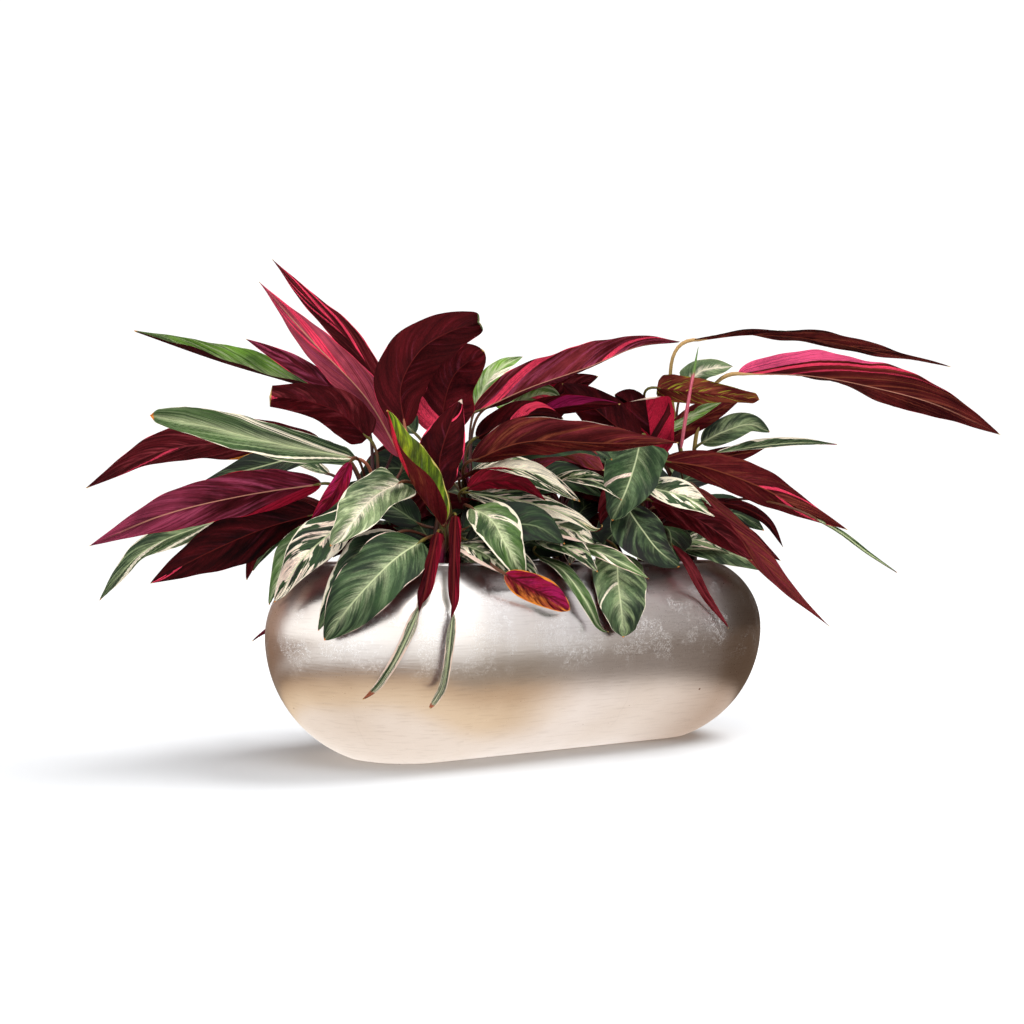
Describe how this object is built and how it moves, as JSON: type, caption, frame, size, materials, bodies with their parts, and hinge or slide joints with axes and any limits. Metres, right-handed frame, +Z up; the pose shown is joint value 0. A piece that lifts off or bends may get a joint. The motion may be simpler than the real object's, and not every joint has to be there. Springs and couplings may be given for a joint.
{
  "type": "potted stromanthe triostar",
  "caption": "Stromanthe triostar with long green, cream and pink leaves, maroon beneath, rising from an oval silver-leafed planter filled with soil.",
  "frame": {"origin": "middle of the planter's flat underside, on the surface that it stands on", "axes": "+Z up, +X along the planter's length, -Y towards the side with the drooping front leaves"},
  "size_m": [1.13, 0.719, 0.646],
  "materials": {
    "silver_leaf": "satin",
    "potting_soil": "matte",
    "stem": "satin",
    "leaf_maroon": "satin",
    "leaf_green": "satin"
  },
  "bodies": {
    "root": {"planter": "silver_leaf", "soil": "potting_soil", "shoot_left": "stem", "shoot_front": "stem", "shoot_middle": "stem", "shoot_centre": "stem", "shoot_right": "stem", "shoot_end": "stem", "leaf_left_1": "leaf_green", "leaf_left_2": "leaf_maroon", "leaf_left_3": "leaf_maroon", "leaf_left_4": "leaf_maroon", "leaf_left_5": "leaf_green", "leaf_left_6": "leaf_maroon", "leaf_left_7": "leaf_green", "leaf_left_8": "leaf_maroon", "leaf_left_9": "leaf_maroon", "leaf_left_10": "leaf_green", "leaf_left_11": "leaf_green", "leaf_top_1": "leaf_maroon", "leaf_top_2": "leaf_maroon", "leaf_top_3": "leaf_maroon", "leaf_top_4": "leaf_green", "leaf_top_5": "leaf_maroon", "leaf_middle_1": "leaf_maroon", "leaf_middle_2": "leaf_maroon", "leaf_front_1": "leaf_green", "leaf_front_2": "leaf_green", "leaf_front_3": "leaf_green", "leaf_front_4": "leaf_green", "leaf_front_5": "leaf_green", "leaf_front_6": "leaf_green", "leaf_front_7": "leaf_maroon", "leaf_front_8": "leaf_green", "leaf_front_9": "leaf_green", "leaf_front_10": "leaf_green", "leaf_front_11": "leaf_green", "leaf_front_12": "leaf_green", "leaf_front_13": "leaf_green", "leaf_front_14": "leaf_maroon", "leaf_front_15": "leaf_green", "leaf_right_1": "leaf_maroon", "leaf_right_2": "leaf_maroon", "leaf_right_3": "leaf_maroon", "leaf_right_4": "leaf_maroon", "leaf_right_5": "leaf_green", "leaf_right_6": "leaf_green", "leaf_right_7": "leaf_maroon", "leaf_right_8": "leaf_maroon", "leaf_right_9": "leaf_maroon", "leaf_right_10": "leaf_green", "leaf_right_11": "leaf_green", "leaf_right_12": "leaf_maroon", "leaf_rear_1": "leaf_maroon", "leaf_rear_2": "leaf_maroon", "leaf_rear_3": "leaf_maroon", "leaf_rear_4": "leaf_maroon", "leaf_rear_5": "leaf_maroon", "leaf_rear_6": "leaf_maroon", "leaf_new": "leaf_green"}
  },
  "joints": []
}
